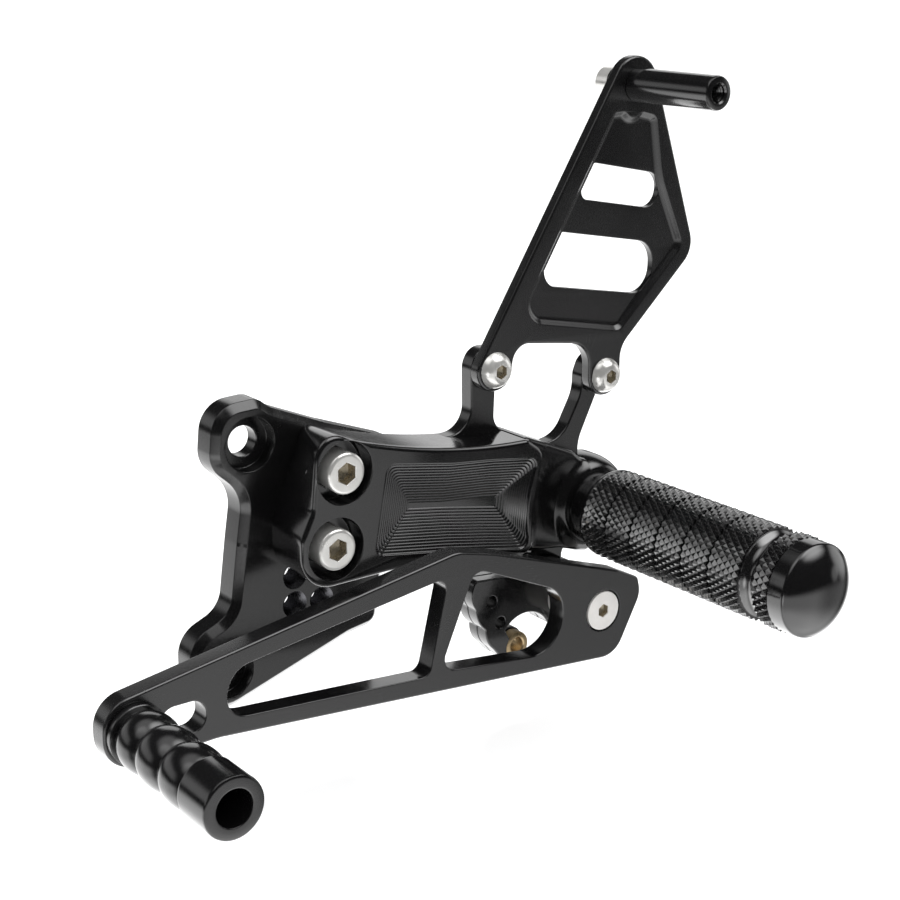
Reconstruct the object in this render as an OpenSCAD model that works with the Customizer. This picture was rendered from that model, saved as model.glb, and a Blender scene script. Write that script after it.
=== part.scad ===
// Left rear set for a motorbike: frame plate, footrest bracket, heel guard, foot peg and shift pedal.
// Units are millimetres. x runs to the rear of the bike, -y outboard towards the rider's foot, z up.
// The origin is the centre of the upper frame bolt, on the inboard face of the frame plate.

/* [Frame plate] */
// Thickness of the frame plate
frame_t = 10; // [8:0.5:12]
// Distance between the two frame bolts
bolt_pitch = 71.3; // [68:0.1:76]
// Diameter of the frame bolt holes
frame_hole_d = 9.5; // [8.4:0.1:10]
// Diameter of the frame bolt counterbores
frame_cbore_d = 16.6; // [15:0.2:18]
// Depth of the frame bolt counterbores
frame_cbore_depth = 4.7; // [3:0.1:5.5]

/* [Footrest bracket] */
// Thickness of the bracket block
bracket_t = 19.5; // [18.5:0.5:22]
// Distance between the two bracket screws
screw_pitch = 23.4; // [22.8:0.1:24.5]
// Diameter of the bracket screw counterbores
screw_cbore_d = 19.4; // [18:0.2:20]
// Number of tool path steps in the milled pocket
pocket_steps = 14; // [8:1:15]
// Width of one tool path step
step_w = 0.92; // [0.6:0.02:0.95]
// Depth of one tool path step
step_h = 0.3; // [0.15:0.05:0.4]
// Thickness of the two heel guard arms
arm_t = 5.5; // [4.5:0.5:7]

/* [Bracket screws] */
// Thread diameter of the bracket screws
screw_d = 8; // [7:0.5:8]
// Head diameter of the bracket screws
screw_head_d = 13; // [12:0.5:14]
// Head height of the bracket screws
screw_head_h = 8; // [7:0.5:9]
// How far the heads stand proud of the bosses
screw_proud = 1; // [0.5:0.1:1.4]

/* [Heel guard] */
// Thickness of the heel guard
guard_t = 4; // [3:0.5:5]
// Depth of the pocket in the heel guard
guard_pocket = 1.5; // [0.8:0.1:2]
// Thread diameter of the guard screws
guard_screw_d = 6; // [5:0.5:6]
// Head diameter of the guard screws
guard_head_d = 11.8; // [10:0.2:12.4]
// Outer diameter of the standoff
standoff_d = 10.8; // [10:0.2:12]
// Length of the standoff
standoff_len = 36.6; // [28:0.2:44]
// Thickness of the spacer behind the guard
spacer_t = 5.3; // [3:0.1:7]

/* [Foot peg] */
// Diameter over the knurl of the foot peg
peg_d = 30.4; // [27:0.2:31]
// Length of the knurled grip
grip_len = 69.5; // [60:0.5:80]
// Number of ring grooves cut in the grip
grip_rings = 5; // [3:1:6]
// Diameter of the bolt that holds the peg
peg_bolt_d = 8; // [7:0.5:9]

/* [Shift pedal] */
// Thickness of the pedal
pedal_t = 7; // [6:0.5:8]
// Gap between the pedal and the front of the bracket
pedal_gap = 3; // [2.6:0.1:4]
// Distance from the pivot to the toe peg
pedal_reach = 171.8; // [165:0.2:178]

/* [Toe peg] */
// Largest diameter of the toe peg
toe_d = 18; // [16.5:0.1:18.5]
// Length of the toe peg
toe_len = 54; // [50:0.5:60]
// Diameter of the deep bore in its end
toe_bore_d = 10.6; // [10.4:0.1:11]
// Thread diameter of the toe peg screw
toe_screw_d = 6; // [5:0.5:6]

/* [Pivot] */
// Shank diameter of the pivot bolt
pivot_d = 8; // [7:0.5:8]
// Head diameter of the pivot bolt
pivot_head_d = 13.4; // [13:0.1:14]
// Thickness of the head of the pivot bolt
pivot_head_t = 3; // [2.5:0.1:3.5]
// Outer diameter of the pivot sleeve
sleeve_d = 12; // [11.4:0.1:12.4]
// Outer diameter of the bronze bushes in the sleeve
bush_d = 10; // [9.6:0.1:10.4]
// Thickness of each plate of the linkage arm
link_t = 4.8; // [4:0.1:5.4]
// Distance between the holes of the linkage arm
link_pitch = 9; // [8.6:0.1:9.6]
// Outer diameter of the brass linkage bush
link_bush_d = 9.4; // [9:0.1:9.8]

/* [Hidden] */

// Small clearances: running fit, fixed fit, gap between faces that must not rub, and cut overshoot
run_gap = 0.04;
fix_gap = 0.02;
rub_gap = 0.3;
over = 1;
corner_steps = 6;

black = [0.06, 0.06, 0.065];
steel = [0.78, 0.77, 0.74];
bronze = [0.72, 0.55, 0.25];

// Planes along y, each from the one behind it
bracket_back = -frame_t;
bracket_front = bracket_back - bracket_t;
arm_front = bracket_back - arm_t;
guard_front = arm_front - guard_t;
pedal_back = bracket_front - pedal_gap;
pedal_front = pedal_back - pedal_t;

// Centres in the side view, x and z
upper_bolt = [0, 0];
lower_bolt = [-9.8, -sqrt(bolt_pitch * bolt_pitch - 9.8 * 9.8)];
upper_screw = [20.5, -7.8];
screw_dir = [-0.154, -0.988];
lower_screw = upper_screw + screw_dir * screw_pitch;
guard_left = [84.6, 11.7];
guard_right = [131.2, 3];
guard_top = [142, 97.6];
peg_c = [125.6, -41.1];
pivot_c = [115.2, -71.1];
toe_c = pivot_c + pedal_reach * [-0.99945, 0.0332];

// Points of a corner b between a and c, rounded with radius r
function unit(v) = v / norm(v);
function corner(a, b, c, r) =
    let (u = unit(a - b), v = unit(c - b), half = acos(u * v) / 2)
    r <= 0 || half > 89 ? [b] :
    let (m = b + unit(u + v) * r / sin(half),
        p = b + u * r / tan(half),
        q = b + v * r / tan(half),
        s = atan2(p[1] - m[1], p[0] - m[0]),
        e = atan2(q[1] - m[1], q[0] - m[0]),
        turn = e - s > 180 ? e - s - 360 : e - s < -180 ? e - s + 360 : e - s)
    [for (k = [0:corner_steps]) m + r * [cos(s + turn * k / corner_steps), sin(s + turn * k / corner_steps)]];

// Outline through points [x, z, r], each rounded with its own radius
function outline(p) =
    let (n = len(p))
    [for (i = [0:n - 1])
        let (a = p[(i + n - 1) % n], b = p[i], c = p[(i + 1) % n])
        each corner([a[0], a[1]], [b[0], b[1]], [c[0], c[1]], b[2])];

// The same outline, counterclockwise, drawn in by d all round
function inset(p, d) =
    let (n = len(p))
    [for (i = [0:n - 1])
        let (e1 = unit(p[i] - p[(i + n - 1) % n]),
            e2 = unit(p[(i + 1) % n] - p[i]),
            n1 = [-e1[1], e1[0]],
            n2 = [-e2[1], e2[0]])
        p[i] + (n1 + n2) * d / (1 + n1 * n2)];

// Flat shape in the side view, extruded forward by t from y_back
module slab(y_back, t) {
    translate([0, y_back, 0]) rotate([90, 0, 0]) linear_extrude(height = t) children();
}

// Round bar along y at c, from y_back forward by t
module bar(c, y_back, t, r) {
    translate([c[0], y_back, c[1]]) rotate([90, 0, 0]) cylinder(h = t, r = r, $fn = 64);
}

// Cone along y at c, radius r1 at y_back and r2 at its front
module cone(c, y_back, t, r1, r2) {
    translate([c[0], y_back, c[1]]) rotate([90, 0, 0]) cylinder(h = t, r1 = r1, r2 = r2, $fn = 64);
}

// Body turned about y at c, its profile in radius and distance forward of y_back
module turned(c, y_back) {
    translate([c[0], y_back, c[1]]) rotate([90, 0, 0]) rotate_extrude($fn = 72) children();
}

// Hexagon socket of width w across its flats
module hex_socket(c, y_back, t, w) {
    translate([c[0], y_back, c[1]]) rotate([90, 0, 0]) cylinder(h = t, r = w / sqrt(3), $fn = 6);
}

// Frame plate
frame_r_up = 12.6;
frame_r_low = 12.4;
tap_r = 3.4;
tap_mouth = 0.9;
spare_taps = [[14.2, -44.6], [13.8, -53.9], [23.6, -54.6]];
frame_outline = outline([
    [lower_bolt[0] - frame_r_low, lower_bolt[1] - frame_r_low - 4, 12],
    [34, -69.6, 14], [45, -68, 5], [54.5, -8, 5],
    [27.9, 1.6, 40], [8.2, 9.8, 12], [3.9, frame_r_up + 0.6, 6], [-frame_r_up + 1.5, frame_r_up, 9.5],
    [-frame_r_up - 0.4, -5.5, 9], [-2.1, -15.3, 12], [-4.6, -31, 60], [-7.6, -52.6, 9],
    [lower_bolt[0] - frame_r_low, lower_bolt[1] + 12, 10]]);

module frame_plate() {
    color(black) difference() {
        slab(0, frame_t) polygon(frame_outline);
        for (c = [upper_bolt, lower_bolt]) {
            bar(c, over, frame_t + 2 * over, frame_hole_d / 2);
            bar(c, -frame_t + frame_cbore_depth, frame_cbore_depth + over, frame_cbore_d / 2);
        }
        for (c = [upper_screw, lower_screw]) bar(c, over, frame_t + 2 * over, screw_d / 2 + fix_gap);
        for (c = spare_taps) {
            bar(c, over, frame_t + 2 * over, tap_r);
            cone(c, -frame_t + tap_mouth, tap_mouth + 0.1, tap_r, tap_r + tap_mouth);
        }
    }
}

// Footrest bracket: block with two screw bosses, hollowed top, milled pocket, peg boss, pivot lug and arms
boss_r = 11.8;
top_r = 222;
top_low = -10.1;
top_c = [95.2, top_low + top_r];
function top_z(x) = top_c[1] - sqrt(top_r * top_r - (x - top_c[0]) * (x - top_c[0]));
peg_boss_r = 16.8;
peg_boss_front = bracket_back - 13;
neck_t = 11;
lug_t = 8;
lug_r = 10.6;
lug_face = bracket_back;
lug_back = lug_face + lug_t;
block_outline = outline([
    [lower_screw[0] - boss_r, lower_screw[1] - boss_r, 10.5], [42, -42.4, 40], [78, -46.2, 30],
    [93, -49.6, 4], [93.4, -34, 16], [97.2, -15, 3], [90.6, top_z(90.6), 3],
    for (x = [84:-9:30]) [x, top_z(x), 0],
    [21, top_z(21), 0], [upper_screw[0] - boss_r + 2.5, 7.6, 7], [upper_screw[0] - boss_r + 0.3, -17.8, 6],
    [lower_screw[0] - boss_r - 0.2, -26, 7]]);
neck_outline = outline([[80, -45, 0], [101.5, -52.6, 6], [112, -52.6, 0], [115, -19.9, 0],
    [92.4, top_z(92.4), 1.6], [84, top_z(84), 0]]);
pocket_edge = [[31, -36], [92.6, -47], [91.8, -16], [36, -8.3]];

module left_arm() {
    slab(bracket_back, arm_t) union() {
        translate(guard_left) circle(r = 6.6, $fn = 48);
        polygon(outline([[66, -14, 0], [96, -14, 0], [96, -11.8, 0], [guard_left[0] + 2.6, -8.6, 6],
            [guard_left[0] + 3.4, guard_left[1], 0], [guard_left[0] - 6.5, guard_left[1], 0],
            [guard_left[0] - 6.4, -8, 8], [66, -8.5, 0]]));
    }
}

module right_arm() {
    slab(bracket_back, arm_t) union() {
        translate(guard_right) circle(r = 6.6, $fn = 48);
        polygon(outline([[108, -24, 0], [124, -28, 0], [123.2, -20, 14], [guard_right[0] + 0.5, guard_right[1] - 6, 6],
            [guard_right[0] + 5, guard_right[1] - 1, 0], [guard_right[0] - 6.5, guard_right[1], 0],
            [guard_right[0] - 6.8, guard_right[1] - 6, 14], [116.8, -16.6, 10], [107, -18.2, 0]]));
    }
}

module pocket_cut() {
    rim_wall = 0.7;
    for (k = [0:pocket_steps - 1]) {
        depth = rim_wall + k * step_h;
        slab(bracket_front + depth, depth + over) polygon(inset(pocket_edge, k * step_w));
    }
}

module pivot_lug() {
    slab(lug_back, lug_t) union() {
        translate(pivot_c) circle(r = lug_r, $fn = 64);
        translate(peg_c) circle(r = 13.6, $fn = 64);
        polygon(outline([[pivot_c[0] - 9.6, -68, 0], [pivot_c[0] + 2, -66, 0], [pivot_c[0] + 4.6, -61, 3],
            [pivot_c[0] + 6, -52, 0], [120, -40, 0], [96, -36, 3], [96, -50, 6]]));
    }
    slab(lug_face + over, 2 * over) polygon([[98, -49], [120, -49], [120, -38], [98, -38]]);
}

module footrest_bracket() {
    boss_t = bracket_back - peg_boss_front;
    color(black) difference() {
        union() {
            slab(bracket_back, bracket_t) polygon(block_outline);
            slab(bracket_back, neck_t) polygon(neck_outline);
            turned(peg_c, bracket_back) polygon(concat([[0, 0], [peg_boss_r, 0]],
                [for (a = [0:15:90]) [peg_boss_r - 4.4 * (1 - cos(a)), boss_t - 9 * (1 - sin(a))]], [[0, boss_t]]));
            left_arm();
            right_arm();
            pivot_lug();
        }
        pocket_cut();
        for (c = [upper_screw, lower_screw]) {
            bar(c, bracket_back + over, bracket_t + 2 * over, screw_d / 2 + rub_gap);
            bar(c, bracket_front + screw_head_h - screw_proud, screw_head_h + over, screw_cbore_d / 2);
        }
        for (c = [guard_left, guard_right]) bar(c, bracket_back + over, arm_t + 2 * over, guard_screw_d / 2 + fix_gap);
        bar(peg_c, lug_back + over, bracket_t + lug_t + 2 * over, peg_bolt_d / 2 + rub_gap);
        bar(peg_c, lug_back + over, lug_t + over, 7.2);
        bar(pivot_c, lug_back + over, lug_t + 2 * over, pivot_d / 2 + fix_gap);
    }
}

// Socket head screws through the bracket into the frame plate
module bracket_screws() {
    head_back = bracket_front + screw_head_h - screw_proud;
    head_chamfer = 0.7;
    color(steel) for (c = [upper_screw, lower_screw]) difference() {
        union() {
            bar(c, head_back, screw_head_h - head_chamfer, screw_head_d / 2);
            cone(c, head_back - screw_head_h + head_chamfer, head_chamfer, screw_head_d / 2,
                screw_head_d / 2 - head_chamfer);
            bar(c, -1.5, -head_back - 1.5, screw_d / 2);
        }
        hex_socket(c, head_back - screw_head_h + 4, 4 + over, 6);
        cone(c, head_back - screw_head_h + 0.4, 0.5, 3.4, 3.9);
    }
}

// Heel guard with its pocket and two slots
guard_lug = 7;
guard_outline = outline([
    [guard_left[0] - guard_lug, guard_left[1] - guard_lug, 6.8], [guard_left[0] + guard_lug, guard_left[1] - guard_lug, 6.8],
    [guard_left[0] + guard_lug + 0.6, 19.2, 6], [124.4, 14.6, 9],
    [guard_right[0] - guard_lug, guard_right[1] - guard_lug, 6.8], [guard_right[0] + guard_lug, guard_right[1] - guard_lug, 6.8],
    [guard_right[0] + guard_lug, 11.6, 9], [170.6, 41.2, 9], [guard_top[0] + 2.4, guard_top[1] + 21.4, 9.3],
    [guard_left[0] - guard_lug, 13, 4]]);
guard_pocket_outline = outline([
    [93.8, 26.2, 7], [137.2, 17.5, 4], [164.6, 43.2, 4], [154, 67, 30], [150.8, guard_top[1] - 10.6, 3],
    [144.6, guard_top[1] - 9, 2], [140.4, guard_top[1] - 11.4, 3.4], [136.8, guard_top[1] - 8.4, 2],
    [132.6, guard_top[1] - 8.6, 1.6]]);
upper_slot = outline([[118.6, 62.9, 3], [153, 56.4, 5.6], [155.4, 67.7, 5.6], [125.4, 73.8, 1.6]]);
lower_slot = outline([[101.4, 36.7, 6], [152.2, 27.4, 8], [152.6, 45.2, 8], [112.1, 52.8, 1.6]]);

module heel_guard() {
    color(black) difference() {
        slab(arm_front, guard_t) polygon(guard_outline);
        slab(guard_front + guard_pocket, guard_pocket + over) polygon(guard_pocket_outline);
        for (p = [upper_slot, lower_slot]) slab(arm_front + over, guard_t + 2 * over) polygon(p);
        for (c = [guard_left, guard_right])
            bar(c, arm_front + over, guard_t + 2 * over, guard_screw_d / 2 + rub_gap);
        bar(guard_top, arm_front + over, guard_t + 2 * over, 3 + rub_gap);
    }
}

// Button head screws through the guard into the arms
module guard_screws() {
    head_h = 3.4;
    color(steel) for (c = [guard_left, guard_right]) difference() {
        union() {
            turned(c, guard_front) intersection() {
                translate([0, -8.2]) circle(r = 11.6, $fn = 96);
                square([guard_head_d / 2, head_h]);
            }
            bar(c, bracket_back - 0.6, arm_t + guard_t - 0.6, guard_screw_d / 2);
        }
        hex_socket(c, guard_front - 1.3, 4, 4);
    }
}

// Tubular standoff at the top of the guard, tapped in both ends
module guard_standoff() {
    chamfer = 0.8;
    bore_r = 2.6;
    color(black) difference() {
        union() {
            bar(guard_top, guard_front, standoff_len - chamfer, standoff_d / 2);
            cone(guard_top, guard_front - standoff_len + chamfer, chamfer, standoff_d / 2,
                standoff_d / 2 - chamfer);
        }
        bar(guard_top, guard_front + over, 16 + over, 3 + fix_gap);
        bar(guard_top, guard_front - standoff_len + 12, 12 + over, bore_r);
        cone(guard_top, guard_front - standoff_len + 1, 1.01, bore_r, bore_r + 1);
    }
}

// Spacer behind the guard, under the head of the standoff screw
module standoff_spacer() {
    color(black) difference() {
        bar(guard_top, arm_front + spacer_t, spacer_t, 5.6);
        bar(guard_top, arm_front + spacer_t + over, spacer_t + 2 * over, 3 + rub_gap);
    }
}

// Socket head screw that holds the standoff from behind
module standoff_screw() {
    head_h = 6;
    head_back = arm_front + spacer_t;
    color(steel) difference() {
        union() {
            bar(guard_top, head_back + head_h - 0.5, head_h - 0.5, 5);
            cone(guard_top, head_back + head_h, 0.5, 4.5, 5);
            bar(guard_top, head_back, spacer_t + guard_t + 12, 3);
        }
        hex_socket(guard_top, head_back + head_h + over, 3.5 + over, 5);
    }
}

// Collar between the bracket boss and the grip
collar_r = 13.6;
flange_t = 1.6;
collar_len = 8.5;
flange_front = peg_boss_front - collar_len - flange_t;
module peg_collar() {
    color(black) difference() {
        turned(peg_c, peg_boss_front) polygon([[0, 0], [collar_r - 1.6, 0], [collar_r - 1.6, collar_len * 0.4],
            [collar_r - 0.3, collar_len], [peg_d / 2 - 0.3, collar_len],
            [peg_d / 2 - 0.3, collar_len + flange_t], [0, collar_len + flange_t]]);
        bar(peg_c, peg_boss_front + over, collar_len + flange_t + 2 * over, peg_bolt_d / 2 + rub_gap);
    }
}

// Knurled foot peg with ring grooves, a waist and a knurled end ring
waist_len = 6.5;
end_ring_len = 5.5;
grip_front = flange_front - grip_len;
peg_front = grip_front - waist_len - end_ring_len;
module foot_peg() {
    ring_gap = grip_len / (grip_rings + 1);
    root_cut = 0.35;
    ring_shift = 1.2;
    waist_r = 30;
    bolt_depth = 26;
    spigot_depth = 10;
    color(black) difference() {
        turned(peg_c, flange_front) difference() {
            square([peg_d / 2, grip_len + waist_len + end_ring_len]);
            for (k = [1:grip_rings])
                translate([peg_d / 2 - root_cut, k * ring_gap - ring_shift - 0.4]) square([2, 0.8]);
            translate([peg_d / 2 + 3.2, grip_len + waist_len / 2]) circle(r = 5, $fn = 48);
        }
        bar(peg_c, flange_front + over, bolt_depth + over, peg_bolt_d / 2 + fix_gap);
        bar(peg_c, peg_front + spigot_depth, spigot_depth + over, 6 + fix_gap);
    }
}

// Domed cap on the end of the peg
cap_len = 11.5;
module peg_end_cap() {
    cap_r = peg_d / 2 - 0.5;
    edge_r = 3.5;
    dome_r = 26;
    color(black) union() {
        turned(peg_c, peg_front) intersection() {
            union() {
                square([cap_r, cap_len - edge_r]);
                translate([0, cap_len - edge_r]) square([cap_r - edge_r, edge_r]);
                translate([cap_r - edge_r, cap_len - edge_r]) circle(r = edge_r, $fn = 64);
            }
            translate([0, cap_len - dome_r]) circle(r = dome_r, $fn = 360);
            square([cap_r, cap_len]);
        }
        bar(peg_c, peg_front + 9, 9.2, 6);
    }
}

// Bolt from the inboard side that holds the peg
module peg_bolt() {
    head_h = 7.6;
    color(steel) difference() {
        union() {
            bar(peg_c, bracket_back + head_h, head_h, 6.5);
            bar(peg_c, bracket_back, bracket_back - flange_front + 24, peg_bolt_d / 2);
        }
        hex_socket(peg_c, bracket_back + head_h + over, 4 + over, 6);
    }
}

// Shift pedal: tapered plate with two windows and a slot beside the toe peg
toe_r = toe_d / 2;
pedal_outline = outline([
    [toe_c[0] - toe_r - 0.6, toe_c[1] - toe_r - 1.6, 9.4], [toe_c[0] + 25.8, toe_c[1] - 9.4, 30],
    [pivot_c[0] + 6, pivot_c[1] - 17.6, 9], [pivot_c[0] + 16.9, pivot_c[1] + 2.4, 8],
    [pivot_c[0] + 15.4, pivot_c[1] + 8.4, 2.4], [pivot_c[0] + 6.6, pivot_c[1] + 12.8, 12],
    [pivot_c[0] - 46.5, pivot_c[1] + 30.4, 30], [pivot_c[0] - 60.5, pivot_c[1] + 33.9, 12],
    [toe_c[0] - toe_r - 0.6, toe_c[1] + toe_r + 0.4, 9.4]]);
window_long = outline([
    [toe_c[0] + 26.6, toe_c[1] - 4.2, 7], [pivot_c[0] - 71.4, pivot_c[1] - 4.6, 3.6],
    [pivot_c[0] - 64, pivot_c[1] + 26.6, 3.4], [toe_c[0] + 31.4, toe_c[1] + 10.4, 8.4]]);
window_short = outline([
    [pivot_c[0] - 67.4, pivot_c[1] - 4.2, 4.4], [pivot_c[0] - 19.6, pivot_c[1] - 10, 12],
    [pivot_c[0] - 16.2, pivot_c[1] + 10.4, 11], [pivot_c[0] - 53.8, pivot_c[1] + 26.8, 4.6]]);

toe_slot = outline([
    [toe_c[0] + 7.6, toe_c[1] - 5.3, 4.7], [toe_c[0] + 22.2, toe_c[1] - 5.3, 4.7],
    [toe_c[0] + 22.2, toe_c[1] + 4.3, 4.7], [toe_c[0] + 7.6, toe_c[1] + 4.3, 4.7]]);

module shift_pedal() {
    bore_r = sleeve_d / 2 + fix_gap;
    color(black) difference() {
        slab(pedal_back, pedal_t) polygon(pedal_outline);
        for (p = [window_long, window_short, toe_slot]) slab(pedal_back + over, pedal_t + 2 * over) polygon(p);
        bar(toe_c, pedal_back + over, pedal_t + 2 * over, toe_screw_d / 2 + fix_gap);
        bar(pivot_c, pedal_back + over, pedal_t + 2 * over, bore_r);
        bar(pivot_c, pedal_front + pivot_head_t + 0.2, pivot_head_t + 0.2 + over, pivot_head_d / 2 + 0.6);
    }
}

// Toe peg with three beads
bead_starts = [2.8, 13.7, 26.4];
bead_ends = [13.7, 26.4, 39.3];
function bead_r(t, a, b) = toe_r - 1.5 * pow(abs(2 * (t - a) / (b - a) - 1), 2.4);
module toe_peg() {
    web_t = 12;
    profile = concat([[0, 0], [toe_r - 0.5, 0], [toe_r, 0.4], [toe_r, 2.7]],
        [for (i = [0:2], k = [0:12])
            let (t = bead_starts[i] + (bead_ends[i] - bead_starts[i]) * (i == 0 ? (k + 1) / 13 : k / 12))
            [i == 0 && t < (bead_starts[0] + bead_ends[0]) / 2 ? toe_r
                : bead_r(t, bead_starts[i], bead_ends[i]), t + (i > 0 && k == 0 ? 0.05 : 0)]],
        [[toe_r - 0.2, 40.1], [toe_r, 40.9], [toe_r, toe_len - 0.8], [toe_r - 0.8, toe_len], [0, toe_len]]);
    color(black) difference() {
        turned(toe_c, pedal_front) polygon(profile);
        bar(toe_c, pedal_front - web_t, toe_len - web_t + over, toe_bore_d / 2);
        bar(toe_c, pedal_front + over, web_t + 2 * over, toe_screw_d / 2 + rub_gap);
    }
}

// Socket head screw deep in the toe peg, into the pedal
module toe_peg_screw() {
    web_t = 12;
    head_y = pedal_front - web_t;
    color(steel) difference() {
        union() {
            bar(toe_c, head_y, 6, 5);
            bar(toe_c, pedal_back - 0.5, web_t + pedal_t - 0.5, toe_screw_d / 2);
        }
        hex_socket(toe_c, head_y - 3, 3 + over, 5);
    }
}

// Flat headed pivot bolt, screwed into the lug of the bracket
module pivot_bolt() {
    head_back = pedal_front + pivot_head_t - 0.1;
    color(steel) difference() {
        union() {
            bar(pivot_c, head_back, pivot_head_t - 0.3, pivot_head_d / 2);
            cone(pivot_c, head_back - pivot_head_t + 0.3, 0.3, pivot_head_d / 2, pivot_head_d / 2 - 0.3);
            bar(pivot_c, lug_back - 0.5, lug_back - 0.5 - head_back, pivot_d / 2);
        }
        hex_socket(pivot_c, head_back - pivot_head_t + 2.2, 2.2 + over, 4);
    }
}

// Sleeve that joins the pedal to the linkage arm
link_back = lug_face - 1;
link_mid = link_back - link_t;
link_front = link_mid - link_t;
sleeve_front = pedal_front + pivot_head_t + 0.2;
module pivot_sleeve() {
    flange_r = 8.2;
    color(steel) difference() {
        union() {
            bar(pivot_c, link_back, link_back - sleeve_front, sleeve_d / 2);
            bar(pivot_c, link_front, link_front - pedal_back, flange_r);
        }
        bar(pivot_c, link_back + over, link_back - sleeve_front + 2 * over, bush_d / 2 + fix_gap);
    }
}

// Two bronze bushes in the sleeve
bush_len = 9;
module pivot_bushes() {
    color(bronze) for (y = [link_back - 0.1, sleeve_front + bush_len + 0.1]) difference() {
        bar(pivot_c, y, bush_len, bush_d / 2);
        bar(pivot_c, y + over, bush_len + 2 * over, pivot_d / 2 + run_gap);
    }
}

// Thrust washer between the lug and the linkage arm
module pivot_washer() {
    color(steel) difference() {
        bar(pivot_c, lug_face, 0.9, 8.6);
        bar(pivot_c, lug_face + over, 3, pivot_d / 2 + run_gap);
    }
}

// Linkage arm: two plates with a hub, a bridge, an arch and a scalloped limb with two tapped holes
link_dir = [0.41, -0.912];
link_hole = [83, -66.4];
link_eye = [94.6, -85];
link_arch = [97.5, -84.8];
link_arch_r = 11;
link_tap_r = 2.1;
eye_r = link_bush_d / 2 + 0.5;
bush_seat_r = 3.6;
link_cusps = [[75, -61], [76.6, -67.9], [80.6, -76], [84, -83.6]];

// Points of a shallow scallop from a to b that bulges outward by h
function scallop(a, b, h) =
    let (n = [b[1] - a[1], a[0] - b[0]] / norm(b - a))
    [for (k = [0:5]) let (t = k / 6) a + (b - a) * t + n * h * (1 - pow(2 * t - 1, 2))];

module link_shape() {
    translate(pivot_c) circle(r = 11, $fn = 64);
    polygon(concat(
        [for (q = corner(pivot_c + [-0.6, 10.8], [88, -58.8], [76, -57.6], 30)) q],
        [for (q = corner([88, -58.8], [76, -57.6], link_cusps[0], 2.2)) q],
        scallop(link_cusps[0], link_cusps[1], 0.8), scallop(link_cusps[1], link_cusps[2], 1),
        scallop(link_cusps[2], link_cusps[3], 1),
        [link_cusps[3], [86.4, -86.6], link_eye + [-4, -2], link_eye + [-3.3, 3.6]],
        [for (a = [142:-6:28]) link_arch + link_arch_r * [cos(a), sin(a)]],
        [pivot_c, pivot_c + [-0.6, 10.8]]));
}

module link_plate(y_back, eye_cut) {
    color(black) difference() {
        slab(y_back, link_t) union() {
            link_shape();
            children();
        }
        bar(pivot_c, y_back + over, link_t + 2 * over, sleeve_d / 2 + fix_gap);
        for (k = [0:1]) bar(link_hole + link_dir * link_pitch * k, y_back + over, link_t + 2 * over, link_tap_r);
        bar(link_eye, y_back + over, link_t + 2 * over, eye_cut);
    }
}

module link_plate_outer() {
    link_plate(link_mid, link_bush_d / 2 + rub_gap);
}

module link_plate_inner() {
    link_plate(link_back, bush_seat_r + fix_gap) translate(link_eye) circle(r = eye_r, $fn = 64);
}

// Brass bush in the eye of the inner plate
module link_bush() {
    bush_out = 4;
    bore_r = 2.6;
    color(bronze) difference() {
        union() {
            bar(link_eye, link_mid, bush_out, link_bush_d / 2);
            bar(link_eye, link_back, link_t, bush_seat_r);
        }
        bar(link_eye, link_back + over, link_t + bush_out + 2 * over, bore_r);
    }
}

frame_plate();
footrest_bracket();
bracket_screws();
heel_guard();
guard_screws();
guard_standoff();
standoff_spacer();
standoff_screw();
peg_collar();
foot_peg();
peg_end_cap();
peg_bolt();
shift_pedal();
toe_peg();
toe_peg_screw();
pivot_bolt();
pivot_sleeve();
pivot_bushes();
pivot_washer();
link_plate_outer();
link_plate_inner();
link_bush();
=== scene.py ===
import math

import bmesh
import bpy
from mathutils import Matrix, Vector
from mathutils.geometry import tessellate_polygon

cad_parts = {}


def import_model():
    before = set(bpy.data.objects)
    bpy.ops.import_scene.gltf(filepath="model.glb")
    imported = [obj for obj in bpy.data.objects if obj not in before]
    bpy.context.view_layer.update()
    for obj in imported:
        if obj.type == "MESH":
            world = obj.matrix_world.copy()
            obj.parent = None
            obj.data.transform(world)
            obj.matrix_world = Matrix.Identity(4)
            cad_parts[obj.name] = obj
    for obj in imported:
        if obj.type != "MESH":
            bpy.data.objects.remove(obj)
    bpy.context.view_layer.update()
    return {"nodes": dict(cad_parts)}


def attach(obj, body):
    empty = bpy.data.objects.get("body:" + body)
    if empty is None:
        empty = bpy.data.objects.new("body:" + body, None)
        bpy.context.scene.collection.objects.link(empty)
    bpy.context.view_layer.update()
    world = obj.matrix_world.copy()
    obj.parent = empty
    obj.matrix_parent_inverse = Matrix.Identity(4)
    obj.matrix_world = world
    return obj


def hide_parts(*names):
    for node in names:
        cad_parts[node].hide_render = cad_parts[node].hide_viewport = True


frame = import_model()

MM = 0.001

# Bodies of the CAD model that the pieces ride on
ROOT = "rear_set"
LEVER = "shift_lever"

# Depths of the main faces along y, in millimetres; outboard is negative
FRAME_FRONT = -10.0
BRACKET_BACK = FRAME_FRONT
BRACKET_FRONT = -29.5
BOSS_FRONT = -23.0
LUG_BACK = -2.0
ARM_FRONT = -15.5
GUARD_FRONT = -19.5
PEDAL_BACK = -32.5
PEDAL_FRONT = -39.5

# The backs of the neck and the arms stand a hair off the block's back, so that no two share a plane
NECK_BACK = BRACKET_BACK - 0.02
ARM_BACK = BRACKET_BACK - 0.04

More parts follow.
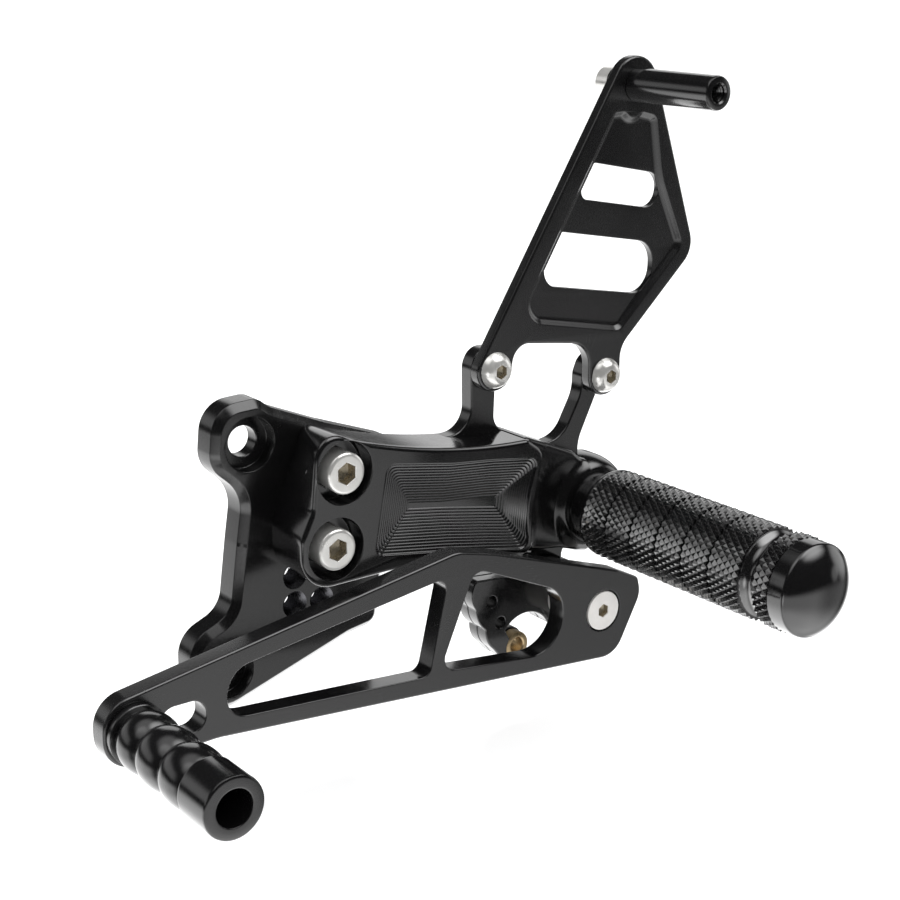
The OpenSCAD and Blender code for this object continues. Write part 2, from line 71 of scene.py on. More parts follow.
# Places in the side view as (x, z), in millimetres; x goes to the bike's rear and z up
UPPER_BOLT = (0.0, 0.0)
BOLT_SPACING = 71.3
LOWER_BOLT = (-9.8, -math.sqrt(BOLT_SPACING ** 2 - 9.8 ** 2))
UPPER_SCREW = (20.5, -7.8)
SCREW_SPACING = 23.4
LOWER_SCREW = (UPPER_SCREW[0] - 0.154 * SCREW_SPACING, UPPER_SCREW[1] - 0.988 * SCREW_SPACING)
TAPS = ((14.2, -44.6), (13.8, -53.9), (23.6, -54.6))
GUARD_LEFT = (84.6, 11.7)
GUARD_RIGHT = (131.2, 3.0)
GUARD_TOP = (142.0, 97.6)
LINK_EYE = (94.6, -85.0)
PEG = (125.6, -41.1)
PIVOT = (115.2, -71.1)
PEDAL_LENGTH = 171.8
TOE = (PIVOT[0] - 0.99945 * PEDAL_LENGTH, PIVOT[1] + 0.0332 * PEDAL_LENGTH)

# Bracket: rounded front edge, and how far its outline keeps from the middle of a bracket screw
BLOCK_EDGE = 1.3
SCREW_RIM = 10.05

# A flat ring of this width beside a rounded edge keeps the shading of the flat face flat
HOLD = 0.1

# Milled pocket: tool steps, of which the last quarter ends in the floor, and each step's way in and down
POCKET_EDGE = 0.6
POCKET_STEPS = 14.25
STEP_IN = 0.92
STEP_DOWN = 0.26
STEP_HOLLOW = 0.17
STEP_PARTS = 4

# Peg boss: radius, and the width and depth of its rounded shoulder
BOSS_R = 16.8
SHOULDER_WIDTH = 4.4
SHOULDER_DEPTH = 9.0

# Foot peg: knurled grip with ring grooves, a waist, and a knurled ring before the cap
GRIP_R = 15.2
GRIP_START = -33.1
GRIP_LENGTH = 69.5
GRIP_END = GRIP_START - GRIP_LENGTH
GROOVES = 5
GROOVE_R = 13.3
GROOVE_GAP = 0.8
WAIST_LENGTH = 6.5
PEG_END = GRIP_END - 12.0
KNURL_AROUND = 39
KNURL_PITCH = 3.53
KNURL_DEPTH = 0.8

# The floor lies below the pedal at its lower limit
FLOOR = -113.0
FLOOR_REACH = 14.0

# Camera, in metres, degrees and millimetres of lens
CAMERA_PLACE = (-0.25193, -0.44417, 0.14947)
CAMERA_DOWN = 16.86
CAMERA_TURN = -36.87
CAMERA_LENS = 70.457
CAMERA_SENSOR = 36


# Outlines in the side view
def rounded(points, steps=8):
    """Counterclockwise outline through (x, z, radius), each corner rounded."""
    loop = []
    count = len(points)
    for i, (bx, bz, r) in enumerate(points):
        if r <= 0:
            loop.append((bx, bz))
            continue
        b = Vector((bx, bz))
        u = (Vector(points[i - 1][:2]) - b).normalized()
        v = (Vector(points[(i + 1) % count][:2]) - b).normalized()
        half = math.acos(max(-1.0, min(1.0, u.dot(v)))) / 2
        half = min(half, math.radians(89.95))
        m = b + (u + v).normalized() * (r / math.sin(half))
        p = b + u * (r / math.tan(half)) - m
        q = b + v * (r / math.tan(half)) - m
        start = math.atan2(p.y, p.x)
        turn = (math.atan2(q.y, q.x) - start + math.pi) % (2 * math.pi) - math.pi
        for k in range(steps + 1):
            a = start + turn * k / steps
            loop.append((m.x + r * math.cos(a), m.y + r * math.sin(a)))
    return loop


def circle(c, r, n=96):
    angles = [2 * math.pi * k / n for k in range(n)]
    return [(c[0] + r * math.cos(a), c[1] + r * math.sin(a)) for a in angles]


def inset(loop, d):
    """The same outline drawn in by d all round, or out where d is negative."""
    if abs(d) < 1e-9:
        return list(loop)
    out = []
    count = len(loop)
    for i, p in enumerate(loop):
        a = loop[i - 1]
        c = loop[(i + 1) % count]
        e1 = Vector((p[0] - a[0], p[1] - a[1])).normalized()
        e2 = Vector((c[0] - p[0], c[1] - p[1])).normalized()
        n1 = Vector((-e1.y, e1.x))
        n2 = Vector((-e2.y, e2.x))
        move = (n1 + n2) * (d / (1 + max(-0.6, n1.dot(n2))))
        out.append((p[0] + move.x, p[1] + move.y))
    return out


def along(a, b, parts):
    """Sharp outline points at those parts of the way from a to b."""
    return [(a[0] + (b[0] - a[0]) * t, a[1] + (b[1] - a[1]) * t, 0) for t in parts]


# Solids built from rings
class Solid:
    """Mesh of rings, each at one depth y, with walls between them and flat caps.

    A face's paint says which of the piece's materials it takes."""

    def __init__(self):
        self.verts = []
        self.faces = []
        self.paints = []

    def ring(self, loop, y):
        first = len(self.verts)
        self.verts += [(x * MM, y * MM, z * MM) for x, z in loop]
        return list(range(first, first + len(loop)))

    def face(self, indices, paint=0):
        self.faces.append(indices)
        self.paints.append(paint)

    def bridge(self, a, b, paint=0):
        """Wall between two rings of the same count, one of which may be a single point."""
        n = max(len(a), len(b))
        for i in range(n):
            j = (i + 1) % n
            if len(a) == 1:
                self.face((a[0], b[i], b[j]), paint)
            elif len(b) == 1:
                self.face((a[i], a[j], b[0]), paint)
            else:
                self.face((a[i], a[j], b[j], b[i]), paint)

    def chain(self, rings, paint=0):
        for a, b in zip(rings, rings[1:]):
            self.bridge(a, b, paint)

    def fan(self, few, many):
        """Wall from a ring to one with a whole number of times its points."""
        step = len(many) // len(few)
        half = step // 2
        shift = self.nearest(few[0], many)
        for i in range(len(few)):
            j = (i + 1) % len(few)
            arc = [many[(shift + i * step + k) % len(many)] for k in range(step + 1)]
            for k in range(step):
                self.face((few[i if k < half else j], arc[k], arc[k + 1]))
            self.face((few[i], arc[half], few[j]))

    def nearest(self, point, ring):
        p = Vector(self.verts[point])
        return min(range(len(ring)), key=lambda i: (Vector(self.verts[ring[i]]) - p).length)

    def wall(self, stations, paint=0):
        """Rings through (outline, y) from front to back; gives the first and the last ring."""
        rings = [self.ring(loop, y) for loop, y in stations]
        self.chain(rings, paint)
        return rings[0], rings[-1]

    def cap(self, loops, paint=0):
        """Flat face inside the first ring, with the other rings as its holes."""
        flat = [i for loop in loops for i in loop]
        outline = [[Vector((self.verts[i][0], self.verts[i][2], 0)) for i in loop] for loop in loops]
        for t in tessellate_polygon(outline):
            self.face(tuple(flat[k] for k in t), paint)

    def make(self, name, body, materials, replaced=(), angle=32, weighted=True):
        mesh = bpy.data.meshes.new(name)
        mesh.from_pydata(self.verts, [], self.faces)
        mesh.update()
        obj = bpy.data.objects.new(name, mesh)
        bpy.context.scene.collection.objects.link(obj)
        for m in materials:
            mesh.materials.append(m)
        mesh.polygons.foreach_set("material_index", self.paints)
        clean(mesh, angle)
        if weighted:
            smooth = obj.modifiers.new("weighted", "WEIGHTED_NORMAL")
            smooth.keep_sharp = True
        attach(obj, body)
        if replaced:
            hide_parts(*replaced)
        return obj


def clean(mesh, angle):
    """Merges double points and turns faces outward; shades smooth, with edges over the angle sharp."""
    work = bmesh.new()
    work.from_mesh(mesh)
    bmesh.ops.remove_doubles(work, verts=work.verts, dist=2e-7)
    bmesh.ops.dissolve_degenerate(work, edges=work.edges, dist=1e-7)
    bmesh.ops.recalc_face_normals(work, faces=work.faces)
    work.to_mesh(mesh)
    work.free()
    mesh.shade_smooth()
    mesh.set_sharp_from_angle(angle=math.radians(angle))


def bevel(y, size, way, steps=4):
    """(inset, y) stations of a rounded edge; way 1 starts at a front face, -1 ends at a back face."""
    out = []
    for k in range(steps + 1):
        a = math.pi / 2 * k / steps
        out.append((size * (1 - math.sin(a)), y + way * size * (1 - math.cos(a))))
    return out if way > 0 else out[::-1]


def edge_wall(outline, front, back, front_edge, back_edge, sign=1):
    """Wall stations with rounded front and back edges; sign -1 for the edge of a hole."""
    stations = bevel(front, front_edge, 1) + bevel(back, back_edge, -1)
    return [(inset(outline, sign * d), y) for d, y in stations]


def bore(c, profile, n=96):
    """Wall stations of a round hole through (radius, y) from front to back."""
    return [(circle(c, r, n), y) for r, y in profile]


def hole_wall(c, r, front, back, front_edge, back_edge, n=96):
    """Wall stations of a plain round hole with rounded edges."""
    stations = bevel(front, front_edge, 1, 3) + bevel(back, back_edge, -1, 3)
    return bore(c, [(r + d, y) for d, y in stations], n)


def plate(name, outer, holes, body, materials, replaced=(), threaded=()):
    """Plate from the stations of its outer wall and its holes; threaded ones take the second material."""
    s = Solid()
    walls = [s.wall(outer)]
    walls += [s.wall(hole) for hole in holes]
    walls += [s.wall(hole, 1) for hole in threaded]
    s.cap([front for front, back in walls])
    s.cap([back for front, back in walls])
    return s.make(name, body, materials, replaced)


def turned(name, c, profile, body, materials, replaced=(), closed=False, n=128):
    """Body turned about the line along y at c, from (radius, y) points; radius 0 closes an end."""
    s = Solid()
    rings = [s.ring(circle(c, r, n) if r > 0 else [c], y) for r, y in profile]
    if closed:
        rings.append(rings[0])
    s.chain(rings)
    return s.make(name, body, materials, replaced)


# Materials
def shader(name):
    m = bpy.data.materials.new(name)
    m.use_nodes = True
    tree = m.node_tree
    return m, tree, tree.nodes["Principled BSDF"]


def put(n, values):
    """Sets a node's inputs by their names."""
    for key, value in values.items():
        n.inputs[key].default_value = value


def node(tree, kind, **settings):
    n = tree.nodes.new(kind)
    for key, value in settings.items():
        setattr(n, key, value)
    return n


def noise(tree, vector, scale, detail, rough=0.55):
    n = node(tree, "ShaderNodeTexNoise")
    put(n, {"Scale": scale, "Detail": detail, "Roughness": rough})
    tree.links.new(vector, n.inputs["Vector"])
    return n.outputs["Fac"]


def calc(tree, operation, a, b):
    """Result of a sum or product; a and b are sockets or floats."""
    n = node(tree, "ShaderNodeMath", operation=operation)
    for socket, value in zip(n.inputs, (a, b)):
        if isinstance(value, float):
            socket.default_value = value
        else:
            tree.links.new(value, socket)
    return n.outputs[0]


def ramp(tree, value, low, high, start, end, kind="SMOOTHSTEP"):
    """Goes from start to end while the value goes from low to high, and stays there beyond."""
    n = node(tree, "ShaderNodeMapRange", interpolation_type=kind)
    put(n, {"From Min": low, "From Max": high, "To Min": start, "To Max": end})
    tree.links.new(value, n.inputs["Value"])
    return n.outputs["Result"]


def spread(tree, value, start, end):
    """Spreads a noise, whose values lie mostly between 0.3 and 0.7, over start to end."""
    return ramp(tree, value, 0.3, 0.7, start, end, "LINEAR")


def stretched(tree, scale):
    coords = node(tree, "ShaderNodeTexCoord")
    mapping = node(tree, "ShaderNodeMapping")
    put(mapping, {"Scale": scale})
    tree.links.new(coords.outputs["Object"], mapping.inputs["Vector"])
    return mapping.outputs["Vector"]


def tint(tree, bsdf, factor, a, b):
    """Base colour that goes from a to b with the factor."""
    mix = node(tree, "ShaderNodeMix", data_type="RGBA")
    put(mix, {"A": (*a, 1), "B": (*b, 1)})
    tree.links.new(factor, mix.inputs["Factor"])
    tree.links.new(mix.outputs["Result"], bsdf.inputs["Base Color"])


def relief(tree, bsdf, height, strength, edge):
    """Fine bumps, on normals that are softened within edge millimetres of an edge."""
    soft = node(tree, "ShaderNodeBevel", samples=4)
    put(soft, {"Radius": edge * MM})
    bump = node(tree, "ShaderNodeBump")
    put(bump, {"Strength": strength, "Distance": 0.00002})
    tree.links.new(height, bump.inputs["Height"])
    tree.links.new(soft.outputs["Normal"], bump.inputs["Normal"])
    tree.links.new(bump.outputs["Normal"], bsdf.inputs["Normal"])


def anodised(name, tone, rough, gloss, grain=(1, 1, 1), streak=0.25, edge=0.25, ior=1.5):
    """Black anodised aluminium: dark, faint tooling streaks, cloudy gloss, softened edges."""
    m, tree, bsdf = shader(name)
    plain = stretched(tree, (1, 1, 1))
    cloud = noise(tree, plain, 38, 5)
    fine = noise(tree, stretched(tree, grain), 900, 3, 0.6)
    grit = noise(tree, plain, 5200, 2, 0.5)
    dark, light = (0.75, 0.75, 0.8), (1.3, 1.28, 1.35)
    tint(tree, bsdf, cloud, [tone * c for c in dark], [tone * c for c in light])
    roughness = calc(tree, "ADD", spread(tree, cloud, rough - 0.05, rough + 0.06),
                     spread(tree, fine, -0.04, 0.05))
    tree.links.new(roughness, bsdf.inputs["Roughness"])
    put(bsdf, {"Metallic": 0.0, "IOR": ior, "Specular IOR Level": gloss, "Coat Weight": 0.3,
               "Coat Roughness": rough * 0.55})
    relief(tree, bsdf, calc(tree, "ADD", fine, grit), streak, edge)
    return m


def metal(name, colour, rough, grain=(1, 1, 1), streak=0.3, dark=0.8, shine=1.0):
    """Bare metal with fine tool lines, smudges and softened edges."""
    m, tree, bsdf = shader(name)
    cloud = noise(tree, stretched(tree, (1, 1, 1)), 160, 4)
    fine = noise(tree, stretched(tree, grain), 1500, 3, 0.6)
    tint(tree, bsdf, spread(tree, cloud, 0, 1), [c * dark for c in colour], colour)
    roughness = calc(tree, "ADD", spread(tree, cloud, rough - 0.04, rough + 0.06),
                     spread(tree, fine, -0.05, 0.05))
    tree.links.new(roughness, bsdf.inputs["Roughness"])
    put(bsdf, {"Metallic": shine})
    relief(tree, bsdf, fine, streak, 0.15)
    return m


PLATE = anodised("plate_black", tone=0.004, rough=0.2, gloss=0.7)
BLOCK = anodised("bracket_black", tone=0.004, rough=0.15, gloss=0.9, grain=(1, 1, 6))
TERRACE = anodised("pocket_black", tone=0.005, rough=0.12, gloss=1.0, edge=0.05, ior=1.55)
GUARD = anodised("guard_black", tone=0.006, rough=0.22, gloss=0.9, grain=(6, 1, 1))
PEDAL = anodised("pedal_black", tone=0.006, rough=0.2, gloss=0.9, grain=(1, 1, 8))
TURNED = anodised("turned_black", tone=0.005, rough=0.14, gloss=0.9, grain=(0.2, 8, 0.2), streak=0.3)
CAP = anodised("cap_black", tone=0.005, rough=0.1, gloss=1.0, grain=(0.2, 8, 0.2), streak=0.2)
KNURL = anodised("knurl_black", tone=0.005, rough=0.12, gloss=1.0, edge=0.05, ior=1.7)
LINK = anodised("link_black", tone=0.006, rough=0.18, gloss=0.9, grain=(1, 6, 1))
THREAD = metal("thread_grey", (0.14, 0.14, 0.15), 0.25)
STEEL = metal("stainless", (0.92, 0.91, 0.88), 0.2, shine=0.65)
# Steel inside the hex sockets, painted darker and browner than the heads as painted shade of the recess
SOCKET_SHADE = metal("socket_painted_shade", (0.62, 0.55, 0.42), 0.28, streak=0.5, dark=0.45, shine=0.75)
SILVER = metal("pivot_silver", (0.92, 0.9, 0.87), 0.42, grain=(4, 1, 4), dark=0.9, shine=0.25)
BRASS = metal("brass", (0.62, 0.47, 0.27), 0.3, grain=(0.3, 6, 0.3), dark=0.6, shine=0.8)
BRONZE = metal("bronze", (0.55, 0.36, 0.16), 0.35)


# Frame plate
def frame_plate():
    low_x, low_z = LOWER_BOLT
    r_up, r_low = 12.6, 12.4
    outline = rounded([
        (low_x - r_low, low_z - r_low - 4, 12), (34, -69.6, 14), (45, -68, 5), (54.5, -8, 5),
        (27.9, 1.6, 40), (8.2, 9.8, 12), (3.9, r_up + 0.6, 6), (-r_up + 1.5, r_up, 9.5),
        (-r_up - 0.4, -5.5, 9), (-2.1, -15.3, 12), (-4.6, -31, 60), (-7.6, -52.6, 9),
        (low_x - r_low, low_z + 12, 10)], 10)
    front, back = FRAME_FRONT, 0.0
    chamfer = [(2.5, front), (2.25, front + 0.06), (0.12, front + 2.2), (0, front + 2.5)]
    outer = [(inset(outline, d), y) for d, y in chamfer + bevel(back, 0.5, -1)]
    counterbore = [(8.7, front), (8.45, front + 0.08), (8.3, front + 0.35), (8.3, -5.4), (8.2, -5.3),
                   (5.0, -5.3), (4.75, -5.05), (4.75, -0.4), (5.1, back)]
    holes = [bore(c, counterbore) for c in (UPPER_BOLT, LOWER_BOLT)]
    tapped = [(4.02, front), (4.02, -0.5), (4.5, back)]
    holes += [bore(c, tapped, 48) for c in (UPPER_SCREW, LOWER_SCREW)]
    core, crest, pitch = 3.4, 3.95, 1.2
    thread = [(4.3, front), (4.0, front + 0.3)]
    for k in range(7):
        thread += [(core, front + 0.9 + pitch * k), (crest, front + 1.5 + pitch * k)]
    thread += [(core, -0.7), (4.1, back)]
    plate("frame_plate_shown", outer, holes, ROOT, [PLATE, THREAD], ["frame_plate"],
          threaded=[bore(c, thread, 48) for c in TAPS])


# Footrest bracket
def top_z(x):
    """Height of the bracket's top edge, which is a hollow arc of 222 mm radius."""
    return 211.9 - math.sqrt(222.0 ** 2 - (x - 95.2) ** 2)


def bracket_outline(back):
    """Outline of the block, from its front at back = 0 to the frame plate at back = 1.

    At the frame plate its upper left corner stands further in."""
    ux, lx, lz = UPPER_SCREW[0], LOWER_SCREW[0], LOWER_SCREW[1]
    r = 11.8
    lean = 1.6 * back
    knee = (25 + back, top_z(25 + back))
    shoulder = (ux - r + 2.5 + 7.0 * back, 7.6 - 4.2 * back)
    waist = (ux - r + 0.3 + lean * 0.4, -17.8)
    right = [(lx - r + lean, lz - r, 10.5), (42, -42.4, 40), (78, -46.2, 30), (93, -49.6, 4),
             (93.4, -34, 16), (97.2, -15, 5), (90.6, top_z(90.6), 3)]
    top = [(x, top_z(x), 0) for x in range(84, 29, -6)]
    left = ([(*knee, 0)] + along(knee, shoulder, (0.1, 0.2, 0.3)) + [(*shoulder, 7 - 4 * back)]
            + along(shoulder, waist, (0.45, 0.53, 0.61, 0.69, 0.77, 0.85))
            + [(*waist, 6), (lx - r - 0.2 + lean, -26, 7)])
    return rounded(right + top + left, 8)


def clear_of_screws(loop):
    """The same outline, pushed out where it would cut into a screw's counterbore."""
    out = []
    for x, z in loop:
        for cx, cz in (UPPER_SCREW, LOWER_SCREW):
            away = math.hypot(x - cx, z - cz)
            if away < SCREW_RIM:
                x = cx + (x - cx) * SCREW_RIM / away
                z = cz + (z - cz) * SCREW_RIM / away
        out.append((x, z))
    return out


def pocket_outline(k):
    """Outline of the milled pocket after k tool steps inward; its right end bows in."""
    corners = inset([(31, -36), (58, -40.4), (91.4, -46.8), (94.8, -17), (76.7, -14.3), (60.5, -12.6),
                     (36, -8.3)], STEP_IN * k)
    r = max(0.25, 3.0 - 0.2 * k)
    points = [(x, z, radius) for (x, z), radius in zip(corners, (r, 0, r, r, 0, 0, r))]
    (x0, z0), (x1, z1) = corners[2], corners[3]
    bow = 2.6 * max(0.0, 1 - max(0, k) / 11)
    end = []
    for t in (0.22, 0.36, 0.5, 0.64, 0.78):
        end.append((x0 + (x1 - x0) * t - bow * (1 - (2 * t - 1) ** 2), z0 + (z1 - z0) * t, 0))
    return rounded(points[:3] + end + points[3:], 6)


def bracket_block():
    s = Solid()
    front, back = BRACKET_FRONT, BRACKET_BACK
    stations = []
    for d, y in [(BLOCK_EDGE + HOLD, front)] + bevel(front, BLOCK_EDGE, 1, 5):
        stations.append((clear_of_screws(inset(bracket_outline(0), d)), y))
    for k in range(1, 9):
        t = k / 8
        stations.append((bracket_outline(t), front + BLOCK_EDGE + (back - front - BLOCK_EDGE) * t))
    walls = [s.wall(stations)]
    seat = -22.5
    counterbore = [(9.9, front), (9.72, front + 0.3), (9.7, front + 0.7), (9.7, seat - 0.4), (9.3, seat),
                   (4.3, seat), (4.3, back)]
    walls += [s.wall(bore(c, counterbore)) for c in (UPPER_SCREW, LOWER_SCREW)]
    edge = [(POCKET_EDGE + HOLD, front)] + bevel(front, POCKET_EDGE, 1, 5)
    rim = [s.ring(pocket_outline(-d / STEP_IN), y) for d, y in edge]
    steps = [rim[-1]]
    for k in range(1, int(STEP_PARTS * POCKET_STEPS) + 1):
        q = k / STEP_PARTS
        hollow = STEP_HOLLOW * (1 - (2 * (q % 1) - 1) ** 2)
        steps.append(s.ring(pocket_outline(q), front + POCKET_EDGE + STEP_DOWN * q + hollow))
    s.chain(rim)
    s.chain(steps, 1)
    s.cap([steps[-1]], 1)
    s.cap([wall[0] for wall in walls] + [rim[0]])
    s.cap([wall[1] for wall in walls])
    s.make("bracket_block", ROOT, [BLOCK, TERRACE], ["footrest_bracket"], angle=25)


def bracket_arms():
    left = [(66, -14, 0), (96, -14, 0), (96, -11.8, 0), (87.2, -8.6, 6), (88, 9.5, 0), (91.2, 13, 6.2),
            (88.5, 18.3, 5.6), (80.5, 18.3, 5.6), (78.0, 13, 6.2), (78.2, -8, 8), (66, -8.5, 0)]
    right = [(108, -24, 0), (124, -28, 0), (123.2, -20, 14), (131.7, -3, 6), (137.6, 0.2, 5.6),
             (136.2, 9.4, 5.8), (127.4, 10, 5.8), (124.6, 3.4, 6), (124.4, -3, 14), (116.8, -16.6, 10),
             (107, -18.2, 0)]
    for name, points, c in (("left", left, GUARD_LEFT), ("right", right, GUARD_RIGHT)):
        plate(f"guard_arm_{name}", edge_wall(rounded(points, 10), ARM_FRONT, ARM_BACK, 0.5, 0.5),
              [hole_wall(c, 3.02, ARM_FRONT, ARM_BACK, 0.01, 0.4, 48)], ROOT, [BLOCK])


def between(points, x):
    """Height at x on the line through (x, z) points."""
    for (x0, z0), (x1, z1) in zip(points, points[1:]):
        if x <= x1:
            return z0 + (z1 - z0) * (x - x0) / (x1 - x0)
    return points[-1][1]


def neck_front(x, z):
    """How far the neck stands out in front: swept up to the block and blended into the boss."""
    edge = 93.6 + 0.0138 * (max(z, -42) + 35) ** 2
    low, sweep = 20.8, 7.0
    out = min(sweep, max(0.0, x - edge))
    height = low + sweep - math.sqrt(sweep ** 2 - (sweep - out) ** 2)
    away = math.hypot(x - PEG[0], z - PEG[1])
    crown = -BOSS_FRONT - 0.1
    flat_r = BOSS_R - SHOULDER_WIDTH
    foot = crown - SHOULDER_DEPTH
    if away < flat_r:
        boss = crown
    elif away < BOSS_R:
        boss = foot + SHOULDER_DEPTH * math.sqrt(1 - ((away - flat_r) / SHOULDER_WIDTH) ** 2)
    else:
        boss = foot - 4 * (away - BOSS_R)
    blend = 4.0
    near = max(0.0, blend - abs(height - boss)) / blend
    return max(height, boss) + near ** 2 * blend / 4


def bracket_neck():
    """Neck from the block to the peg boss, one smooth hollow in front with rolled edges."""
    top = [(86, top_z(86)), (92.4, top_z(92.4)), (104, -15), (117, -20.6), (120.5, -23.6), (123, -24.6)]
    low = [(86, -47.4), (93, -49.6), (99, -51.8), (105, -53), (112, -54), (117, -55.6), (120, -56.8),
           (123, -57.6)]
    edge = 1.8
    roll = [(0, edge), (0.14, 1.1), (0.53, 0.53), (1.1, 0.14), (edge, 0)]
    start, length, columns, rows = 91, 32, 48, 30
    s = Solid()
    grid = []
    for i in range(columns + 1):
        x = start + length * i / columns
        z0, z1 = between(low, x), between(top, x)
        column = [(z0 + d, drop) for d, drop in roll]
        column += [(z0 + edge + (z1 - z0 - 2 * edge) * k / rows, 0) for k in range(1, rows)]
        column += [(z1 - d, drop) for d, drop in roll[::-1]]
        grid.append([s.ring([(x, z)], drop - neck_front(x, z))[0] for z, drop in column])
    for a, b in zip(grid, grid[1:]):
        for k in range(len(a) - 1):
            s.face((a[k], b[k], b[k + 1], a[k + 1]))
    rim = [row[0] for row in grid] + grid[-1][1:-1] + [row[-1] for row in grid[::-1]] + grid[0][-2:0:-1]
    back = s.ring([(s.verts[v][0] / MM, s.verts[v][2] / MM) for v in rim], NECK_BACK)
    s.bridge(rim, back)
    s.cap([back])
    s.make("bracket_neck", ROOT, [BLOCK])


def bracket_boss():
    """Round boss that the peg stands on, and behind it the lug for the pivot bolt."""
    bolt_r, front, back = 4.3, BOSS_FRONT, BRACKET_BACK
    profile = [(bolt_r, front), (12.0, front)]
    for degrees in range(88, -1, -8):
        a = math.radians(degrees)
        profile.append((BOSS_R - SHOULDER_WIDTH * (1 - math.cos(a)),
                        front + SHOULDER_DEPTH * (1 - math.sin(a))))
    profile += [(BOSS_R, back - 0.4), (BOSS_R - 0.4, back), (bolt_r, back)]
    turned("peg_boss", PEG, profile, ROOT, [BLOCK], closed=True)
    px = PIVOT[0]
    lug = rounded([(px - 6.6, -80.4, 6), (px + 6.4, -80.6, 8), (px + 10.8, -70, 8), (px + 5.2, -60, 4),
                   (131, -54.4, 4), (138, -47, 9), (139.6, -32, 9), (127, -26.6, 10), (114, -30, 8),
                   (96, -36, 3), (96, -50, 6), (105.4, -62, 10), (104.2, -73, 8)], 10)
    plate("pivot_lug", edge_wall(lug, back, LUG_BACK, 0.4, 0.8),
          [hole_wall(PIVOT, 4.02, back, LUG_BACK, 0.3, 0.5, 64),
           hole_wall(PEG, 7.2, back, LUG_BACK, 0.01, 0.5)], ROOT, [BLOCK])


# Heel guard
def heel_guard():
    lug = 7.0
    lx, lz = GUARD_LEFT
    rx, rz = GUARD_RIGHT
    tx, tz = GUARD_TOP
    outline = rounded([
        (lx - lug, lz - lug, 6.8), (lx + lug, lz - lug, 6.8), (lx + lug + 0.6, 19.2, 6), (124.4, 14.6, 9),
        (rx - lug, rz - lug, 6.8), (rx + lug, rz - lug, 6.8), (rx + lug, 11.6, 9), (170.6, 41.2, 9),
        (tx + 2.4, tz + 21.4, 9.3), (lx - lug, 13, 4)], 10)
    pocket = rounded([
        (93.8, 26.2, 7), (137.2, 17.5, 4), (164.6, 43.2, 4), (154, 67, 30), (150.8, tz - 10.6, 3),
        (144.6, tz - 9, 2), (140.4, tz - 11.4, 3.4), (136.8, tz - 8.4, 2), (132.6, tz - 8.6, 1.6)], 8)
    upper = rounded([(118.6, 62.9, 3), (153, 56.4, 5.6), (155.4, 67.7, 5.6), (125.4, 73.8, 1.6)], 10)
    lower = rounded([(101.4, 36.7, 6), (152.2, 27.4, 8), (152.6, 45.2, 8), (112.1, 52.8, 1.6)], 10)
    front, back, floor = GUARD_FRONT, ARM_FRONT, GUARD_FRONT + 1.5
    slope = [(-0.5, front), (-0.3, front + 0.05), (0, front + 0.25), (0.6, front + 0.8),
             (1.1, floor - 0.25), (1.5, floor - 0.06), (2.0, floor)]
    s = Solid()
    outer = s.wall(edge_wall(outline, front, back, 0.9, 0.5))
    basin = s.wall([(inset(pocket, d), y) for d, y in slope])
    slots = [s.wall(edge_wall(slot, floor, back, 0.25, 0.3, -1)) for slot in (upper, lower)]
    holes = [s.wall(hole_wall(c, 3.3, front, back, 0.2, 0.2, 48))
             for c in (GUARD_LEFT, GUARD_RIGHT, GUARD_TOP)]
    s.cap([wall[0] for wall in (outer, basin, *holes)])
    s.cap([basin[1]] + [wall[0] for wall in slots])
    s.cap([wall[1] for wall in (outer, *slots, *holes)])
    s.make("heel_guard_shown", ROOT, [GUARD], ["heel_guard"])


# Screws
def socket_screw(name, c, face, toward, head, shank, key, crown, body, replaced=(), steel=STEEL):
    """Screw with a hexagon socket. face is y at its head's outer face; toward is 1 if it runs to +y.

    head is (radius, height), shank is (radius, y at its end), key is the socket's (width, depth), and
    crown is the head's rounded edge as (radius, depth below the face)."""
    head_r, head_h = head
    shank_r, shank_end = shank
    flats, depth = key
    n = 96
    hexagon = []
    for k in range(n):
        a = 2 * math.pi * k / n
        side = flats / 2 / math.cos((a - math.pi / 6) % (math.pi / 3) - math.pi / 6)
        hexagon.append((side * math.cos(a), side * math.sin(a)))
    s = Solid()
    floor = face + toward * depth
    mouth = s.ring([(c[0] + 1.06 * x, c[1] + 1.06 * z) for x, z in hexagon], face)
    lip = s.ring([(c[0] + x, c[1] + z) for x, z in hexagon], face + toward * 0.25)
    base = s.ring([(c[0] + x, c[1] + z) for x, z in hexagon], floor)
    s.bridge(mouth, lip)
    # The socket's walls and cone take the steel with the painted shade of the recess
    s.chain([lip, base, s.ring([c], floor + toward * 0.9)], 1)
    outside = crown + [(head_r, head_h - 0.3), (head_r - 0.3, head_h), (shank_r, head_h)]
    rings = [mouth] + [s.ring(circle(c, r, n), face + toward * t) for r, t in outside]
    rings.append(s.ring(circle(c, shank_r, n), shank_end - toward * 0.8))
    rings.append(s.ring(circle(c, shank_r - 0.8, n), shank_end))
    s.chain(rings)
    s.cap([rings[-1]])
    return s.make(name, body, [steel, SOCKET_SHADE], replaced)


